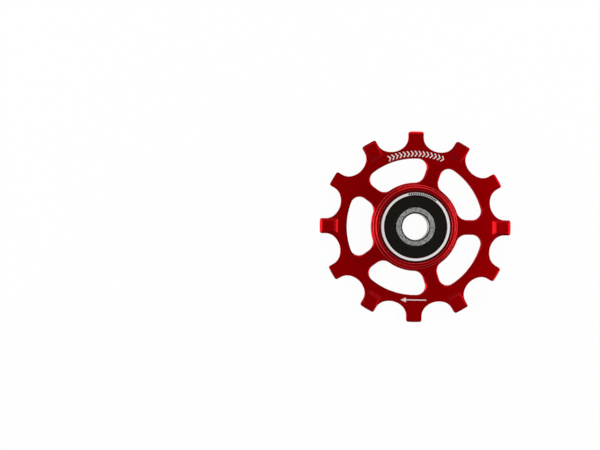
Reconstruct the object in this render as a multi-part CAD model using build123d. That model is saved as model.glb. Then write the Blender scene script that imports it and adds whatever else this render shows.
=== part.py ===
from build123d import *
from math import cos, hypot, pi, sin, sqrt
import os

# A narrow-wide jockey wheel on its sealed ball bearing, in millimetres.
# The origin is the bearing's centre, +Z runs along the axle towards the marked face,
# and +X runs out through a spoke and a wide tooth.

# Chain that the wheel guides
chain_pitch = 12.7
roller_diameter = 7.75

# Teeth
tooth_count = 12
tooth_play = 0.91             # a tooth's play between two chain rollers
tip_height = 0.82             # tooth tip above the pitch circle
tip_corner_radius = 0.55
tip_chamfer_length = 0.5      # along the tooth
tip_chamfer_depth = 0.35
flank_foot_height = 3.1       # gullet floor to the parallel flanks

# Raised cheeks on both faces of every second tooth
cheek_height = 0.55
cheek_length = 4.85           # from the tip inwards
cheek_heel_step = 0.24        # how much narrower the heel is on each side
cheek_taper_length = 2.5      # from the heel to the parallel flanks
cheek_side_chamfer = 0.57
cheek_tip_chamfer = 0.7
heel_ramp_length = 0.5        # the flat ramp at the foot of the heel
heel_ramp_height = 0.16
heel_chamfer_length = 0.53    # from the ramp up to the cheek's face

# Web with its windows
web_thickness = 2.05
edge_break = 0.12             # along the teeth and gullets
spoke_count = 5
spoke_width = 3.94
rim_width = 2.5               # window to gullet floor
shelf_width = 0.75            # hub foot to window
window_break_share = 0.45     # a window's broken edge to the shelf's width
outer_corner_share = 0.367    # corner radius to the window's radial width
inner_corner_share = 0.421

# Hub
hub_wall = 1.1                # at the hub's faces
hub_draft = 0.4               # how much wider the hub is at the web than at its faces
hub_recess = 0.05             # hub face below the bearing's face
hub_edge_radius = 0.42
hub_foot_share = 0.5          # foot radius to the shelf's width
seat_chamfer = 0.3

# Bearing
bearing_bore = 7.0
bearing_diameter = 19.0
bearing_width = 6.0
bore_chamfer = 0.4
ring_chamfer = 0.42
face_edge_break = 0.08
ball_count = 7
ball_diameter = 3.5
ball_play = 0.02              # ball to the floor of its race
race_relief = 0.07            # race radius less ball radius
race_depth = 0.65

# Cage of two pressed halves
cage_sheet = 0.22
cage_width = 1.7
pocket_play = 0.06
rivet_diameter = 0.6
rivet_head_diameter = 1.05
rivet_head_height = 0.2

# Seals
seal_thickness = 0.5
seal_recess = 0.12            # seal face below the bearing's face
seal_land_step = 0.28         # inner ring, from its shoulder down to the seal's land
seal_lip_gap = 0.04
seal_shoulder_gap = 0.15
seal_bead_play = 0.01
seal_groove_depth = 0.17
seal_groove_wall = 0.71       # behind the seal's groove, out to the ring's chamfer start
seal_ridge_width = 0.7
seal_ridge_height = 0.07
seal_ridge_inset = 0.28
seal_line_width = 0.2
seal_line_depth = 0.16
seal_line_inset = 0.08

# Sizes that follow from those above
pitch_angle = 360 / tooth_count
pitch_radius = chain_pitch / 2 / sin(pi / tooth_count)
root_radius = pitch_radius - roller_diameter / 2
tip_radius = pitch_radius + tip_height
tooth_width = chain_pitch - roller_diameter - tooth_play
web_half = web_thickness / 2
cheek_half = web_half + cheek_height
heel_radius = tip_radius - cheek_length
cheek_taper = cheek_heel_step / cheek_taper_length
bearing_half = bearing_width / 2
seat_radius = bearing_diameter / 2
hub_half = bearing_half - hub_recess
hub_face_radius = seat_radius + hub_wall
hub_web_radius = hub_face_radius + hub_draft
hub_foot_radius = shelf_width * hub_foot_share
window_inner_radius = hub_web_radius + shelf_width
window_outer_radius = root_radius - rim_width
window_width = window_outer_radius - window_inner_radius
window_break = shelf_width * window_break_share
ball_radius = ball_diameter / 2
ball_circle_radius = (bearing_bore + bearing_diameter) / 4
race_radius = ball_radius + race_relief
inner_race_floor = ball_circle_radius - ball_radius - ball_play
outer_race_floor = ball_circle_radius + ball_radius + ball_play
inner_shoulder_radius = inner_race_floor + race_depth
outer_shoulder_radius = outer_race_floor - race_depth
seal_land_radius = inner_shoulder_radius - seal_land_step
seal_front_height = bearing_half - seal_recess
seal_back_height = seal_front_height - seal_thickness
seal_mouth_radius = seat_radius - ring_chamfer - seal_groove_wall - face_edge_break
seal_groove_radius = seal_mouth_radius + seal_groove_depth
beyond = 1.0                  # how far a cutting shape reaches past what it cuts


def turned(section):
    """Turn a closed section of (radius, height) or (radius, height, corner radius) points."""
    points = [(corner[0], corner[1]) for corner in section]
    rounding = [corner[2] if len(corner) == 3 else 0 for corner in section]
    outline = FilletPolyline(*points, radius=rounding, close=True)
    return revolve(Plane.XZ * make_face(outline), Axis.Z)


def both_sides(upper):
    """Close an upper half section, given from the axle outwards, with its mirror image."""
    return upper + [(corner[0], -corner[1], *corner[2:]) for corner in reversed(upper)]


def arc(start, end, centre):
    """The shorter arc from start to end about centre."""
    towards_middle = ((start - centre) + (end - centre)).normalized()
    return ThreePointArc(start, centre + towards_middle * (start - centre).length, end)


def flipped(point):
    """The point's mirror image across the tooth's centre line."""
    return Vector(point.X, -point.Y)


def arc_joint(start, inward, end, onward):
    """Where an arc leaving start along inward runs smoothly into one reaching end along onward."""
    span = end - start
    turn = 2 * (1 - inward.dot(onward))
    lean = span.dot(inward + onward)
    reach = (sqrt(lean**2 + turn * span.dot(span)) - lean) / turn
    return (start + inward * reach + end - onward * reach) / 2


def tooth_edges():
    """One tooth pointing along +X, and the gullet that follows it."""
    half_width = tooth_width / 2
    inward = Vector(-1, 0)
    gullet_line = Vector(1, 0).rotate(Axis.Z, pitch_angle / 2)
    gullet_floor = gullet_line * root_radius
    flank_foot = Vector(root_radius + flank_foot_height, half_width)
    floor_start = arc_joint(flank_foot, inward, gullet_floor, gullet_line.rotate(Axis.Z, 90))
    floor_end = flipped(floor_start).rotate(Axis.Z, pitch_angle)
    corner_height = half_width - tip_corner_radius
    corner_reach = sqrt((tip_radius - tip_corner_radius) ** 2 - corner_height**2)
    corner_centre = Vector(corner_reach, corner_height)
    flank_top = Vector(corner_reach, half_width)
    tip_end = corner_centre.normalized() * tip_radius
    return [
        TangentArc(flipped(flank_foot), flipped(floor_start), tangent=inward),
        Line(flipped(flank_foot), flipped(flank_top)),
        arc(flipped(flank_top), flipped(tip_end), flipped(corner_centre)),
        ThreePointArc(flipped(tip_end), Vector(tip_radius, 0), tip_end),
        arc(tip_end, flank_top, corner_centre),
        Line(flank_top, flank_foot),
        TangentArc(flank_foot, floor_start, tangent=inward),
        ThreePointArc(floor_start, gullet_floor, floor_end),
    ]


def toothed_outline():
    """The wheel's outline as one face, with all its teeth."""
    tooth = tooth_edges()
    edges = [Rot(0, 0, pitch_angle * i) * edge for i in range(tooth_count) for edge in tooth]
    return make_face(edges)


def window():
    """One window, on +X: part of a ring between two spokes, with rounded corners."""
    half_angle = pi / spoke_count
    apex = spoke_width / 2 / sin(half_angle)
    reach = window_outer_radius * 2
    far_corner = Vector(apex + reach * cos(half_angle), reach * sin(half_angle))
    between_spokes = make_face(Polyline((apex, 0), far_corner, flipped(far_corner), close=True))
    opening = between_spokes & (Circle(window_outer_radius) - Circle(window_inner_radius))
    corners = sorted(opening.vertices(), key=lambda v: hypot(v.X, v.Y))
    opening = fillet(corners[2:], window_width * outer_corner_share)
    corners = sorted(opening.vertices(), key=lambda v: hypot(v.X, v.Y))
    return fillet(corners[:2], window_width * inner_corner_share)


def on_web_face(edge):
    """Whether an edge lies in one of the web's two flat faces."""
    return abs(abs(edge.center().Z) - web_half) < edge_break / 10


def round_window(edge):
    """Whether an edge is part of a window's mouth."""
    return on_web_face(edge) and hypot(edge.center().X, edge.center().Y) < root_radius - rim_width / 2


def web(outline):
    """The toothed web with its windows, its edges broken and its tips chamfered all round."""
    blank = extrude(outline, web_half, both=True)
    blank = chamfer(blank.edges().filter_by(on_web_face), edge_break)
    opening = extrude(window(), web_half + beyond, both=True)
    for i in range(spoke_count):
        blank -= Rot(0, 0, (i + 0.5) * 360 / spoke_count) * opening
    blank = chamfer(blank.edges().filter_by(round_window), window_break)
    chamfer_start = tip_radius - tip_chamfer_length
    slope = tip_chamfer_length / tip_chamfer_depth
    tip_turning = turned(
        [
            (0, web_half + beyond),
            (chamfer_start - beyond * slope, web_half + beyond),
            (chamfer_start + web_half * slope, 0),
            (chamfer_start - beyond * slope, -web_half - beyond),
            (0, -web_half - beyond),
        ]
    )
    return blank & tip_turning


def cheek_layer(plan, top_height, heel_foot, heel_slope):
    """A cheek up to a height above the middle of the web, its heel rising from heel_foot."""
    side_slope = cheek_side_chamfer / cheek_height
    tip_slope = cheek_tip_chamfer / cheek_height
    shoulder = heel_radius + cheek_taper_length

    def chamfered_plan(height):
        """What the chamfers leave at this height above the middle of the web."""
        above_web = height - web_half
        side = tooth_width / 2 - side_slope * above_web
        tip = tip_radius - tip_slope * above_web
        heel = heel_foot + heel_slope * above_web
        corners = [(heel, side - cheek_taper * (shoulder - heel)), (shoulder, side), (tip, side)]
        mirrored = [(x, -y) for x, y in reversed(corners)]
        return Pos(0, 0, height) * make_face(Polyline(*corners, *mirrored, close=True))

    past_top = cheek_half + cheek_height / 10
    chamfered = loft([chamfered_plan(web_half / 2), chamfered_plan(past_top)], ruled=True)
    return extrude(Pos(0, 0, web_half / 2) * plan, top_height - web_half / 2) & chamfered


def wide_tooth(outline):
    """The cheeks of a wide tooth on +X, chamfered all round, with a flat ramp at the heel."""
    heel_half = tooth_width / 2 - cheek_heel_step
    outer_end = tip_radius + beyond
    outer_half = heel_half + cheek_taper * (outer_end - heel_radius)
    heel_corner = Vector(heel_radius, heel_half)
    outer_corner = Vector(outer_end, outer_half)
    plan = outline & make_face(
        Polyline(heel_corner, outer_corner, flipped(outer_corner), flipped(heel_corner), close=True)
    )
    chamfer_slope = heel_chamfer_length / (cheek_height - heel_ramp_height)
    chamfer_foot = heel_radius + heel_ramp_length - heel_ramp_height * chamfer_slope
    ramp_top = web_half + heel_ramp_height
    ramp = cheek_layer(plan, ramp_top, heel_radius, heel_ramp_length / heel_ramp_height)
    cheek = cheek_layer(plan, cheek_half, chamfer_foot, chamfer_slope) + ramp
    return cheek + mirror(cheek, Plane.XY)


def hub():
    """The turned hub, still without its seat for the bearing."""
    foot_end = (hub_web_radius + hub_foot_radius + window_inner_radius - window_break) / 2
    return turned(
        both_sides(
            [
                (0, hub_half),
                (hub_face_radius, hub_half, hub_edge_radius),
                (hub_web_radius, web_half, hub_foot_radius),
                (foot_end, web_half),
            ]
        )
    )


def bearing_seat():
    """What is bored out of the hub: the bearing's seat, with a chamfered mouth on each side."""
    return turned(
        both_sides(
            [
                (0, hub_half + beyond),
                (seat_radius + seat_chamfer + beyond, hub_half + beyond),
                (seat_radius, hub_half - seat_chamfer),
            ]
        )
    )


def pulley_wheel():
    """The wheel, one piece from its teeth to the bearing seat."""
    outline = toothed_outline()
    wheel = web(outline)
    tooth = wide_tooth(outline)
    for i in range(0, tooth_count, 2):
        wheel += Rot(0, 0, pitch_angle * i) * tooth
    return wheel + hub() - bearing_seat()


def bearing_inner_ring():
    """The ring on the axle, with its race and a stepped land for each seal."""
    shoulder_half = seal_back_height - seal_shoulder_gap
    blank = turned(
        both_sides(
            [
                (bearing_bore / 2, bearing_half - bore_chamfer),
                (bearing_bore / 2 + bore_chamfer, bearing_half),
                (seal_land_radius - face_edge_break, bearing_half),
                (seal_land_radius, bearing_half - face_edge_break),
                (seal_land_radius, shoulder_half),
                (inner_shoulder_radius, shoulder_half),
            ]
        )
    )
    return blank - Torus(inner_race_floor + race_radius, race_radius)


def bearing_outer_ring():
    """The ring in the hub, with its race and a groove that holds each seal."""
    lip_height = bearing_half - seal_recess * 2
    blank = turned(
        both_sides(
            [
                (outer_shoulder_radius, seal_back_height - seal_bead_play),
                (seal_groove_radius, seal_back_height - seal_bead_play),
                (seal_groove_radius, lip_height),
                (seal_mouth_radius, lip_height),
                (seal_mouth_radius, bearing_half - face_edge_break),
                (seal_mouth_radius + face_edge_break, bearing_half),
                (seat_radius - ring_chamfer, bearing_half),
                (seat_radius, bearing_half - ring_chamfer),
            ]
        )
    )
    return blank - Torus(outer_race_floor - race_radius, race_radius)


def seal_front():
    """A rubber seal: a lip over the inner ring, a round ridge, a sunk line and the snap bead."""
    lip_radius = seal_land_radius + seal_lip_gap
    face = seal_front_height
    bead_top = bearing_half - seal_recess * 2 - seal_bead_play
    bead_radius = seal_groove_radius - seal_bead_play
    edge_radius = seal_mouth_radius - seal_bead_play
    ridge_start = lip_radius + seal_ridge_inset
    ridge_end = ridge_start + seal_ridge_width
    ridge_slope = seal_ridge_height * 2
    line_end = edge_radius - seal_line_inset
    line_start = line_end - seal_line_width
    line_slope = seal_line_width / 4
    return turned(
        [
            (lip_radius, seal_back_height),
            (lip_radius, face - seal_lip_gap * 3),
            (lip_radius + seal_lip_gap * 3, face),
            (ridge_start, face),
            (ridge_start + ridge_slope, face + seal_ridge_height),
            (ridge_end - ridge_slope, face + seal_ridge_height),
            (ridge_end, face),
            (line_start, face),
            (line_start + line_slope, face - seal_line_depth),
            (line_end - line_slope, face - seal_line_depth),
            (line_end, face),
            (edge_radius, face),
            (edge_radius, bead_top),
            (bead_radius, bead_top),
            (bead_radius, seal_back_height),
        ]
    )


def around_ball_circle(shape, count, first=0.0):
    """Copies of a shape on the ball circle, the first one that part of a step round from +X."""
    step = 360 / count
    return [Rot(0, 0, step * (i + first)) * Pos(ball_circle_radius, 0, 0) * shape for i in range(count)]


def cage_half_front():
    """A pressed cage half: flats between the balls and half a pocket round each ball."""
    pocket_radius = ball_radius + pocket_play
    inner = ball_circle_radius - cage_width / 2
    outer = ball_circle_radius + cage_width / 2
    height = pocket_radius + cage_sheet * 2
    flat = turned([(inner, 0), (outer, 0), (outer, cage_sheet), (inner, cage_sheet)])
    ribbon = turned([(inner, 0), (outer, 0), (outer, height), (inner, height)])
    half = flat
    for crown in around_ball_circle(Sphere(pocket_radius + cage_sheet), ball_count):
        half += crown & ribbon
    for hollow in around_ball_circle(Sphere(pocket_radius), ball_count):
        half -= hollow
    rivet_hole = Cylinder(rivet_diameter / 2, cage_sheet * 4)
    for hole in around_ball_circle(rivet_hole, ball_count, 0.5):
        half -= hole
    return half


def cage_rivet():
    """A rivet with a domed head on each side, standing on the axle line."""
    shank = rivet_diameter / 2
    head = rivet_head_diameter / 2
    top = cage_sheet + rivet_head_height
    dome_height = rivet_head_height * 0.7
    dome_radius = (head**2 + dome_height**2) / (2 * dome_height)
    head_edge = Vector(head, top - dome_height)
    section = make_face(
        [
            Polyline((0, top), (0, 0), (shank, 0), (shank, cage_sheet), (head, cage_sheet), head_edge),
            arc(head_edge, Vector(0, top), Vector(0, top - dome_radius)),
        ]
    )
    upper = revolve(Plane.XZ * section, Axis.Z)
    return upper + mirror(upper, Plane.XY)


front_seal = seal_front()
front_cage_half = cage_half_front()
nodes = {
    "pulley_wheel": pulley_wheel(),
    "bearing_outer_ring": bearing_outer_ring(),
    "bearing_inner_ring": bearing_inner_ring(),
    "seal_front": front_seal,
    "seal_back": mirror(front_seal, Plane.XY),
    "cage_half_front": front_cage_half,
    "cage_half_back": mirror(front_cage_half, Plane.XY),
}
for i, ball in enumerate(around_ball_circle(Sphere(ball_radius), ball_count)):
    nodes[f"ball_{i + 1}"] = ball
for i, rivet in enumerate(around_ball_circle(cage_rivet(), ball_count, 0.5)):
    nodes[f"cage_rivet_{i + 1}"] = rivet

os.makedirs("parts", exist_ok=True)
for name, shape in nodes.items():
    export_step(shape, f"parts/{name}.step")
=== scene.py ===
import math

import bpy
from mathutils import Matrix, Vector


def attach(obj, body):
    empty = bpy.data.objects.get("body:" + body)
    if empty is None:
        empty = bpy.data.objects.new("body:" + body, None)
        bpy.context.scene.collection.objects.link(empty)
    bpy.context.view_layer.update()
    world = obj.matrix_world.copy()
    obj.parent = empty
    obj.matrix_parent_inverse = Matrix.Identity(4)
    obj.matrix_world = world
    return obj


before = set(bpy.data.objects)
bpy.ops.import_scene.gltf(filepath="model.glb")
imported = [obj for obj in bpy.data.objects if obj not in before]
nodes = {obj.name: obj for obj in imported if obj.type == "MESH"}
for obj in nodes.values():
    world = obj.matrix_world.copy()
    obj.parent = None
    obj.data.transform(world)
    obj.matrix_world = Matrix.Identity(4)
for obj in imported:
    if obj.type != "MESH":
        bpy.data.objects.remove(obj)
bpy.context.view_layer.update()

mm = 0.001
bpy.ops.object.select_all(action="DESELECT")
print("frame loaded:", len(nodes), "nodes")


class Wire:  # a socket that can stand in a sum
    def __init__(self, paint, socket):
        self.paint = paint
        self.socket = socket

    def __add__(self, other):
        return self.paint.sum("ADD", self, other)

    def __radd__(self, other):
        return self.paint.sum("ADD", other, self)

    def __sub__(self, other):
        return self.paint.sum("SUBTRACT", self, other)

    def __rsub__(self, other):
        return self.paint.sum("SUBTRACT", other, self)

    def __mul__(self, other):
        return self.paint.sum("MULTIPLY", self, other)

    def __rmul__(self, other):
        return self.paint.sum("MULTIPLY", other, self)

    def __abs__(self):
        return self.paint.sum("ABSOLUTE", self)


class Paint:  # a node tree and the ways to add nodes to it
    def __init__(self, tree):
        self.tree = tree

    def node(self, kind, settings=None, values=None, out=0):
        made = self.tree.nodes.new(kind)
        for key, value in (settings or {}).items():
            setattr(made, key, value)
        for key, value in (values or {}).items():
            self.plug(made.inputs[key], value)
        return Wire(self, made.outputs[out])

    def plug(self, socket, value):
        if isinstance(value, Wire):
            self.tree.links.new(value.socket, socket)
        else:
            socket.default_value = value

    def sum(self, operation, *values):
        return self.node("ShaderNodeMath", {"operation": operation}, dict(enumerate(values)))

    def seen(self):  # 1 on what the camera sees, straight, mirrored or through something clear
        path = self.node("ShaderNodeLightPath").socket.node
        rays = ("Is Camera Ray", "Is Glossy Ray", "Is Transmission Ray")
        straight, mirrored, through = [Wire(self, path.outputs[ray]) for ray in rays]
        return self.sum("MAXIMUM", self.sum("MAXIMUM", straight, mirrored), through)

    def place(self):  # where a point is on the piece, in millimetres
        spot = self.node("ShaderNodeTexCoord", out="Object")
        return self.node("ShaderNodeVectorMath", {"operation": "SCALE"},
                         {0: spot, "Scale": 1 / mm})

    def facing(self):  # the way the surface faces, as the piece itself has it
        return self.axes(self.node("ShaderNodeTexCoord", out="Normal"))

    def axes(self, vector):
        split = self.node("ShaderNodeSeparateXYZ", values={0: vector}).socket.node
        return [Wire(self, output) for output in split.outputs]

    def joined(self, x, y, z):
        return self.node("ShaderNodeCombineXYZ", values={0: x, 1: y, 2: z})

    def stretched(self, vector, shares):
        return self.node("ShaderNodeVectorMath", {"operation": "MULTIPLY"},
                         {0: vector, 1: shares})

    def radius(self, x, y):
        return self.sum("SQRT", x * x + y * y)

    def ramp(self, value, low, high):  # 0 below low, 1 above high, smooth between
        return self.node("ShaderNodeMapRange", {"interpolation_type": "SMOOTHSTEP"},
                         {"Value": value, "From Min": low, "From Max": high})

    def band(self, value, low, high, soft):  # 1 between low and high
        above = self.ramp(value, low - soft, low + soft)
        return above * (1 - self.ramp(value, high - soft, high + soft))

    def noise(self, vector, scale, detail, roughness=0.5):  # from 0 to 1 and mostly near 0.5
        return self.node("ShaderNodeTexNoise", {"noise_dimensions": "3D"}, {
            "Vector": vector, "Scale": scale, "Detail": detail, "Roughness": roughness})

    def blend(self, share, first, second):
        return self.node("ShaderNodeMix", {"data_type": "RGBA"},
                         {0: share, 6: first, 7: second}, out=2)


class Finish(Paint):  # the paint of one material
    def __init__(self, name, **constants):
        self.material = bpy.data.materials.new(name)
        self.material.use_nodes = True
        super().__init__(self.material.node_tree)
        self.shader = self.tree.nodes["Principled BSDF"]
        for key, value in constants.items():
            self.feed(key.replace("_", " "), value)

    def feed(self, name, value):
        self.plug(self.shader.inputs[name], value)

    def bump(self, height, strength, distance):  # the distance in millimetres
        self.feed("Normal", self.node("ShaderNodeBump", values={
            "Strength": strength, "Distance": distance * mm, "Height": height}))


def rgb(red, green, blue):
    return (red, green, blue, 1.0)


white = rgb(1, 1, 1)

view = {
    "lens": 91.48,
    "sensor": 36,
    "place": (-30.587, 0.077, 406.0),
    "roll": 0.735,          # degrees
    "near": 10,
    "far": 10000,
}


def addCamera():
    data = bpy.data.cameras.new("camera")
    data.sensor_width = view["sensor"]
    data.lens = view["lens"]
    data.clip_start = view["near"] * mm
    data.clip_end = view["far"] * mm
    camera = bpy.data.objects.new("camera", data)
    camera.location = Vector(view["place"]) * mm
    camera.rotation_euler = (0, 0, math.radians(view["roll"]))
    bpy.context.scene.collection.objects.link(camera)
    bpy.context.scene.camera = camera


studio = {
    "worldLight": 0.03,     # what lights matt surfaces; the camera sees 1
    "floorHeight": -3.02,   # a hair under the bearing's lower face
    "floorSize": 3000,
    "floorColour": rgb(0.95, 0.95, 0.95),
    "floorShade": 0.04,     # how much of the object's shadow the floor shows
    "lamps": [
        # name, place, size across and along, power in watts, all looking at the origin
        ("lowLeft", (-440, -5, 140), 340, 250, 1.45),
        ("highLeft", (-230, 0, 420), 110, 110, 0.43),
        ("lowRight", (428, 20, 58), 600, 76, 1.35),
        ("midRight", (250, 40, 300), 420, 90, 0.45),
        ("highRight", (220, -10, 440), 190, 190, 0.48),
        ("back", (30, 450, 130), 420, 150, 1.1),
    ],
}


def addWorld():
    world = bpy.data.worlds.new("studio")
    bpy.context.scene.world = world
    world.use_nodes = True
    paint = Paint(world.node_tree)
    sky = world.node_tree.nodes["Background"]
    sky.inputs["Color"].default_value = white
    level = paint.node("ShaderNodeMapRange", values={
        "Value": paint.seen(), "To Min": studio["worldLight"], "To Max": 1.0})
    paint.plug(sky.inputs["Strength"], level)


def addFloor():
    height = studio["floorHeight"] * mm
    bpy.ops.mesh.primitive_plane_add(size=studio["floorSize"] * mm, location=(0, 0, height))
    bpy.ops.object.transform_apply(location=True)
    floor = bpy.context.object
    floor.name = "floor"
    paint = Finish("paleFloor", Roughness=0.9, Specular_IOR_Level=0.0)
    paint.feed("Base Color", studio["floorColour"])
    mixed = paint.node("ShaderNodeMixShader", values={
        0: paint.seen() * (1 - studio["floorShade"]),
        1: Wire(paint, paint.shader.outputs[0]),
        2: paint.node("ShaderNodeEmission", values={"Color": white}),
    })
    paint.plug(paint.tree.nodes["Material Output"].inputs["Surface"], mixed)
    floor.data.materials.append(paint.material)


def addLamps():
    for name, place, across, along, power in studio["lamps"]:
        data = bpy.data.lights.new(name, "AREA")
        data.shape = "RECTANGLE"
        data.size = across * mm
        data.size_y = along * mm
        data.energy = power
        lamp = bpy.data.objects.new(name, data)
        lamp.location = Vector(place) * mm
        lamp.rotation_euler = (-Vector(place)).to_track_quat("-Z", "Y").to_euler()
        bpy.context.scene.collection.objects.link(lamp)


bpy.context.scene.view_settings.view_transform = "Standard"
addCamera()
addWorld()
addFloor()
addLamps()
print("camera, light and floor ready")


redFinish = {
    "flat": rgb(0.156, 0.0, 0.0004),      # turned and milled faces that look up or down
    "darkToneAndHubShade": rgb(0.07, 0.0, 0.0004),       # darker red: a random darker tone, and painted shade towards the hub
    "slopeHighlightTint": rgb(0.185, 0.0024, 0.0036),  # gentle slopes, such as the cheeks' heel ramps; a lighter, paler red, painted so that highlights on them turn pink
    # chamfers: a lighter, paler red too, painted so that their highlights turn pink
    "chamfer": rgb(0.175, 0.0022, 0.0034),
    "wallHighlight": rgb(0.31, 0.006, 0.01),       # walls that stand nearly upright; much lighter: a painted highlight
    "mouthHighlight": rgb(0.32, 0.005, 0.009),     # the broken edges of the windows; lighter and pinker: a painted highlight
    "turned": rgb(0.335, 0.0145, 0.017),  # the hub's rounded edges; much lighter and pinker: a painted highlight
    "seat": rgb(0.42, 0.026, 0.033),      # the chamfer round the bearing; much lighter: a painted highlight
    "edgeTint": rgb(1.0, 0.16, 0.2),
    # how far a face looks up or down, 1 straight and 0 sideways, where one colour ends
    "slopeEnd": (0.95, 0.99),
    "chamferEnd": (0.84, 0.92),
    "wallEnd": (0.45, 0.68),
    "highlightEdgeEnd": (0.1, 0.4),
    # how far out each part of the wheel reaches
    "seatHighlightEnd": (9.8, 9.95),
    "hubEnd": (11.2, 11.6),
    "windowEnd": (18.5, 18.7),
    # the web is painted darker towards the hub: painted shade where the raised hub keeps light
    # off it
    "hubShadeEnd": (12.5, 24.0),
    "hubShadeShare": 0.3,
    # noises have their scale, detail and roughness here and below
    "cloud": (0.35, 3.0),
    "cloudRange": (0.3, 0.75),
    "cloudShare": 0.14,
    "grain": (26.0, 2.0),
    "flatRoughness": 0.35,
    "edgeRoughness": 0.27,
    "hubRoughness": 0.36,
    "cloudRoughness": 0.06,
    "grainRoughness": 0.03,
    "turningLines": 62.0,                 # radians to the millimetre
    "turningBump": 0.3,
    "grainBump": 0.6,
    "edgeBump": 0.1,                      # what is left of the bump on tilted faces
    "bump": (0.15, 0.01),
}


def redAnodised():
    look = redFinish
    paint = Finish("redAnodised", Metallic=1.0, IOR=1.5, Specular_Tint=look["edgeTint"])
    place = paint.place()
    x, y, z = paint.axes(place)
    r = paint.radius(x, y)
    up = abs(paint.facing()[2])
    tilted = 1 - paint.ramp(up, *look["slopeEnd"])
    # tilted but not upright edges, where highlights are painted on the windows and the hub
    edge = tilted * paint.ramp(up, *look["highlightEdgeEnd"])
    # where the chamfer round the bearing gets its painted highlight
    seatHighlightArea = 1 - paint.ramp(r, *look["seatHighlightEnd"])
    onHub = 1 - paint.ramp(r, *look["hubEnd"])
    windowHighlightArea = 1 - paint.ramp(r, *look["windowEnd"])
    # painted shade: 1 at the hub, falling to 0 towards the rim
    inner = 1 - paint.ramp(r, *look["hubShadeEnd"])
    cloud = paint.noise(place, *look["cloud"])
    grain = paint.noise(place, *look["grain"])

    # a random darker tone from the cloud, plus painted shade towards the hub
    toneAndHubShade = paint.ramp(cloud, *look["cloudRange"]) * look["cloudShare"] + inner * look["hubShadeShare"]
    colour = paint.blend(toneAndHubShade, look["flat"], look["darkToneAndHubShade"])
    # tilted faces, edges and the bearing's chamfer take lighter colours: painted highlights
    for share, name in (
        (tilted, "slopeHighlightTint"),
        (1 - paint.ramp(up, *look["chamferEnd"]), "chamfer"),
        (1 - paint.ramp(up, *look["wallEnd"]), "wallHighlight"),
        (windowHighlightArea * edge, "mouthHighlight"),
        (onHub * edge, "turned"),
        (seatHighlightArea * tilted, "seat"),
    ):
        colour = paint.blend(share, colour, look[name])
    paint.feed("Base Color", colour)

    onEdge = onHub * (look["hubRoughness"] - look["edgeRoughness"]) + look["edgeRoughness"]
    rough = tilted * onEdge + (1 - tilted) * look["flatRoughness"]
    uneven = (cloud - 0.5) * look["cloudRoughness"] + (grain - 0.5) * look["grainRoughness"]
    paint.feed("Roughness", rough + uneven)

    turning = paint.sum("SINE", r * look["turningLines"]) * 0.5 + 0.5
    height = grain * look["grainBump"] + turning * onHub * look["turningBump"]
    paint.bump(height * (1 - tilted * (1 - look["edgeBump"])), *look["bump"])
    return paint.material


ringFinish = {
    "outer": {
        "face": rgb(0.62, 0.615, 0.6),
        # dark with a red tint: painted shade in the groove by the hub, and a painted reflection
        # of the red hub
        "chamfer": rgb(0.075, 0.035, 0.036),
        # the light face is drawn narrower than the ground face: its edges take the dark colour
        # too, painted shade over a glint
        "faceFrom": 8.41,
        "faceTo": 9.04,
        "roughness": 0.22,
        "grain": (9.0, 4.0, 0.75),
        "grainShare": 0.1,
    },
    "inner": {
        "face": rgb(0.21, 0.213, 0.204),
        "chamfer": rgb(0.025, 0.025, 0.022),
        "faceFrom": 3.92,
        "faceTo": 99.0,                   # no chamfer at its outer edge
        "roughness": 0.4,
        "grain": (2.4, 4.0, 0.75),
        "grainShare": 1.0,
    },
    "soft": 0.02,
    "bore": rgb(0.34, 0.33, 0.29),
    "boreEnd": (3.52, 3.55),
    "speckRange": (0.4, 0.62),
    "speckShade": 0.32,
    "lines": (14.0, 2.0),                 # what the grinding wheel left, round the axle
    "lineShare": 0.2,
    "lineBump": 0.5,
    "grainRoughness": 0.15,
    "bump": (0.2, 0.006),
}

ticks = {                                 # etched on part of the outer ring
    "colour": rgb(0.015, 0.015, 0.013),
    "start": 52.0,                        # degrees round from +X
    "end": 104.0,
    "softAngle": 0.2,
    "step": 3.25,
    "stroke": (-0.84, -0.44),             # of the sine across a step, where the dark begins
    "inside": 8.46,
    "outside": 8.98,
    "markedSide": (0.0, 1.0),
}


def etchedTicks(paint, x, y, z, r):  # short strokes across the ring, on its marked side only
    angle = paint.sum("ARCTAN2", y, x) * math.degrees(1)
    part = paint.band(angle, ticks["start"], ticks["end"], ticks["softAngle"])
    wave = paint.sum("SINE", angle * (2 * math.pi / ticks["step"]))
    across = paint.band(r, ticks["inside"], ticks["outside"], ringFinish["soft"])
    onTop = paint.ramp(z, *ticks["markedSide"])
    return part * paint.ramp(wave, *ticks["stroke"]) * across * onTop


def ringSteel(name):
    look = {**ringFinish, **ringFinish[name]}
    paint = Finish(name + "RingSteel", Metallic=1.0)
    place = paint.place()
    x, y, z = paint.axes(place)
    r = paint.radius(x, y)
    grain = paint.noise(place, *look["grain"])
    lines = paint.noise(paint.joined(r, 0.0, 0.0), *look["lines"])
    speck = paint.ramp(grain, *look["speckRange"]) * look["grainShare"]
    dark = rgb(*[part * look["speckShade"] for part in look["face"][:3]])
    colour = paint.blend(speck + (lines - 0.5) * look["lineShare"], look["face"], dark)
    if name == "outer":
        colour = paint.blend(etchedTicks(paint, x, y, z, r), colour, ticks["colour"])
    # outside the face the ring takes its chamfer colour; on the outer ring that is painted shade
    onFace = paint.band(r, look["faceFrom"], look["faceTo"], look["soft"])
    colour = paint.blend(onFace, look["chamfer"], colour)
    inBore = 1 - paint.ramp(r, *look["boreEnd"])
    paint.feed("Base Color", paint.blend(inBore, colour, look["bore"]))
    paint.feed("Roughness", look["roughness"] + (grain - 0.5) * look["grainRoughness"])
    paint.bump(grain * look["grainShare"] + lines * look["lineBump"], *look["bump"])
    return paint.material


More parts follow.
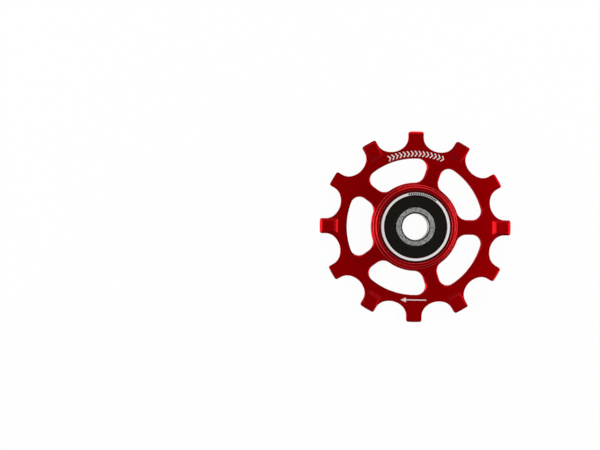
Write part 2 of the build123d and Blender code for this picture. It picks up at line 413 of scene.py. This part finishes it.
ballFinish = {
    "bright": rgb(0.72, 0.73, 0.74),
    "dull": rgb(0.6, 0.6, 0.62),
    "haze": (3.0, 3.0),
    "hazeShare": 0.2,
    "roughness": 0.05,
    "hazeRoughness": 0.05,
}


def ballSteel():
    look = ballFinish
    paint = Finish("ballSteel", Metallic=1.0)
    haze = paint.noise(paint.place(), *look["haze"])
    paint.feed("Base Color", paint.blend(haze * look["hazeShare"], look["bright"], look["dull"]))
    paint.feed("Roughness", look["roughness"] + haze * look["hazeRoughness"])
    return paint.material


cageFinish = {
    "bright": rgb(0.5, 0.49, 0.46),
    "dull": rgb(0.36, 0.35, 0.33),
    "rolling": (5.0, 3.0),
    "rollingStretch": (1.0, 9.0, 1.0),    # rolling marks lie along X
    "roughness": 0.3,
    "rollingRoughness": 0.15,
    "bump": (0.15, 0.004),
}


def cageSteel():
    look = cageFinish
    paint = Finish("cageSteel", Metallic=1.0)
    sheet = paint.stretched(paint.place(), look["rollingStretch"])
    rolled = paint.noise(sheet, *look["rolling"])
    paint.feed("Base Color", paint.blend(rolled, look["bright"], look["dull"]))
    paint.feed("Roughness", look["roughness"] + rolled * look["rollingRoughness"])
    paint.bump(rolled, *look["bump"])
    return paint.material


sealFinish = {
    "rubber": rgb(0.0061, 0.0049, 0.0034),
    "dust": rgb(0.0086, 0.0084, 0.0064),
    "dustPatches": (0.8, 2.0),
    "dustRange": (0.45, 0.8),
    "dustShare": 0.4,
    "grain": (30.0, 3.0, 0.6),
    "sheen": 0.03,
    "roughness": 0.42,
    "grainRoughness": 0.2,
    "mouldLines": 45.0,                   # radians to the millimetre
    "mouldBump": 0.15,
    "bump": (0.2, 0.006),
}


def sealRubber():
    look = sealFinish
    paint = Finish("sealRubber", Metallic=0.0, IOR=1.5, Specular_IOR_Level=look["sheen"])
    place = paint.place()
    x, y, z = paint.axes(place)
    grain = paint.noise(place, *look["grain"])
    dusty = paint.ramp(paint.noise(place, *look["dustPatches"]), *look["dustRange"])
    paint.feed("Base Color", paint.blend(dusty * look["dustShare"], look["rubber"], look["dust"]))
    paint.feed("Roughness", look["roughness"] + (grain - 0.5) * look["grainRoughness"])
    mould = paint.sum("SINE", paint.radius(x, y) * look["mouldLines"])
    paint.bump(grain + mould * look["mouldBump"], *look["bump"])
    return paint.material


def dress():
    finishes = {  # by how a node's name starts
        "pulley_wheel": redAnodised(),
        "bearing_outer_ring": ringSteel("outer"),
        "bearing_inner_ring": ringSteel("inner"),
        "ball_": ballSteel(),
        "cage_": cageSteel(),
        "seal_": sealRubber(),
    }
    for name, node in nodes.items():
        finish = next(look for start, look in finishes.items() if name.startswith(start))
        for seat in node.material_slots:
            seat.material = finish


dress()
print("materials on the CAD nodes")


inkFinish = {
    "fresh": rgb(0.72, 0.62, 0.61),
    "worn": rgb(0.55, 0.42, 0.42),
    "wear": (4.0, 3.0),
    "wearRange": (0.45, 0.75),
    "wearShare": 0.35,
    "grain": (40.0, 2.0),
    "roughness": 0.5,
    "grainRoughness": 0.2,
    "bump": (0.2, 0.004),
    "thickness": 0.02,
    "sunk": 0.006,          # of that, below the web's face
}


def inkWhite():
    look = inkFinish
    paint = Finish("inkWhite", Metallic=0.0)
    place = paint.place()
    wear = paint.ramp(paint.noise(place, *look["wear"]), *look["wearRange"])
    grain = paint.noise(place, *look["grain"])
    paint.feed("Base Color", paint.blend(wear * look["wearShare"], look["fresh"], look["worn"]))
    paint.feed("Roughness", look["roughness"] + (grain - 0.5) * look["grainRoughness"])
    paint.bump(grain, *look["bump"])
    return paint.material


def selectOnly(pieces):
    bpy.ops.object.select_all(action="DESELECT")
    for piece in pieces:
        piece.select_set(True)
    bpy.context.view_layer.objects.active = pieces[0]


def pickVertices(piece, test):
    for element in (*piece.data.vertices, *piece.data.edges, *piece.data.polygons):
        element.select = False
    for vertex in piece.data.vertices:
        vertex.select = test(vertex.co)


def addBar(length, width):  # a flat bar, length along X
    bpy.ops.mesh.primitive_plane_add(size=1)
    piece = bpy.context.object
    piece.scale = (length * mm, width * mm, 1)
    bpy.ops.object.transform_apply(scale=True)
    return piece


def thicken():  # from the flat outline to a closed piece of ink
    bpy.ops.mesh.select_all(action="SELECT")
    thickness = inkFinish["thickness"] * mm
    bpy.ops.mesh.extrude_region_move(TRANSFORM_OT_translate={"value": (0, 0, thickness)})
    bpy.ops.mesh.select_all(action="SELECT")


def finishMark(piece, name, ink):
    piece.name = name
    piece.data.materials.clear()
    piece.data.materials.append(ink)
    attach(piece, "wheel")


chevrons = {
    "radius": 19.42,
    "span": 42.5,           # degrees from the first to the last
    "count": 15,
    "width": 0.38,
    "height": 1.5,
    "lean": 0.55,
}


def webFace():  # the height of the web's upper face, found on the wheel itself
    start = Vector((0, -chevrons["radius"], 20)) * mm
    hit, spot = nodes["pulley_wheel"].ray_cast(start, Vector((0, 0, -1)))[:2]
    if not hit:
        raise RuntimeError("no web face under the marks")
    return spot.z


def chevron():  # one bar bent in its middle, lying flat and pointing along +X
    piece = addBar(chevrons["width"], chevrons["height"])
    bpy.ops.object.mode_set(mode="EDIT")
    bpy.ops.mesh.subdivide(number_cuts=1)
    bpy.ops.object.mode_set(mode="OBJECT")
    middle = chevrons["height"] / 10 * mm
    pickVertices(piece, lambda spot: abs(spot.y) < middle)
    bpy.ops.object.mode_set(mode="EDIT")
    bpy.ops.transform.translate(value=(chevrons["lean"] * mm, 0, 0))
    thicken()
    bpy.ops.mesh.normals_make_consistent(inside=False)
    bpy.ops.object.mode_set(mode="OBJECT")
    return piece


def addChevrons(ink, face):  # a row round the upper rim
    first = chevron()
    copies = []
    step = chevrons["span"] / (chevrons["count"] - 1)
    centre = Vector((-chevrons["lean"] / 2, chevrons["radius"], -inkFinish["sunk"])) * mm
    lift = Matrix.Translation(centre + Vector((0, 0, face)))
    for i in range(chevrons["count"]):
        copy = first.copy()
        copy.data = first.data.copy()
        bpy.context.scene.collection.objects.link(copy)
        turn = math.radians(chevrons["span"] / 2 - step * i)
        copy.data.transform(Matrix.Rotation(turn, 4, "Z") @ lift)
        copies.append(copy)
    bpy.data.objects.remove(first)
    selectOnly(copies)
    bpy.ops.object.join()
    finishMark(bpy.context.object, "direction_chevrons", ink)


arrow = {
    "radius": 19.45,
    "shift": 0.5,
    "shaft": 5.4,
    "thickness": 0.28,
    "head": 1.3,
    "headLength": 1.4,
    "point": 0.02,          # how much of the head's width is left at its point
    "mergeWithin": 0.00002,
}


def addArrow(ink, face):  # on the lower rim, pointing along -X
    piece = addBar(arrow["shaft"], arrow["thickness"])
    leftEnd = -arrow["shaft"] / 2 * 0.9 * mm
    pickVertices(piece, lambda spot: spot.x < leftEnd)
    bpy.ops.object.mode_set(mode="EDIT")
    bpy.ops.mesh.select_mode(type="EDGE")
    shoulders = arrow["head"] / arrow["thickness"]
    for reach, widen in ((0, shoulders), (arrow["headLength"], arrow["point"])):
        bpy.ops.mesh.extrude_edges_move(TRANSFORM_OT_translate={"value": (-reach * mm, 0, 0)})
        bpy.ops.transform.resize(value=(1, widen, 1))
    thicken()
    bpy.ops.mesh.remove_doubles(threshold=arrow["mergeWithin"] * mm)
    bpy.ops.mesh.normals_make_consistent(inside=False)
    bpy.ops.object.mode_set(mode="OBJECT")
    centre = Vector((arrow["shift"], -arrow["radius"], -inkFinish["sunk"])) * mm
    piece.data.transform(Matrix.Translation(centre + Vector((0, 0, face))))
    finishMark(piece, "direction_arrow", ink)


ink = inkWhite()
face = webFace()
addChevrons(ink, face)
addArrow(ink, face)
print("printed marks on the web at", round(face / mm, 3), "mm")
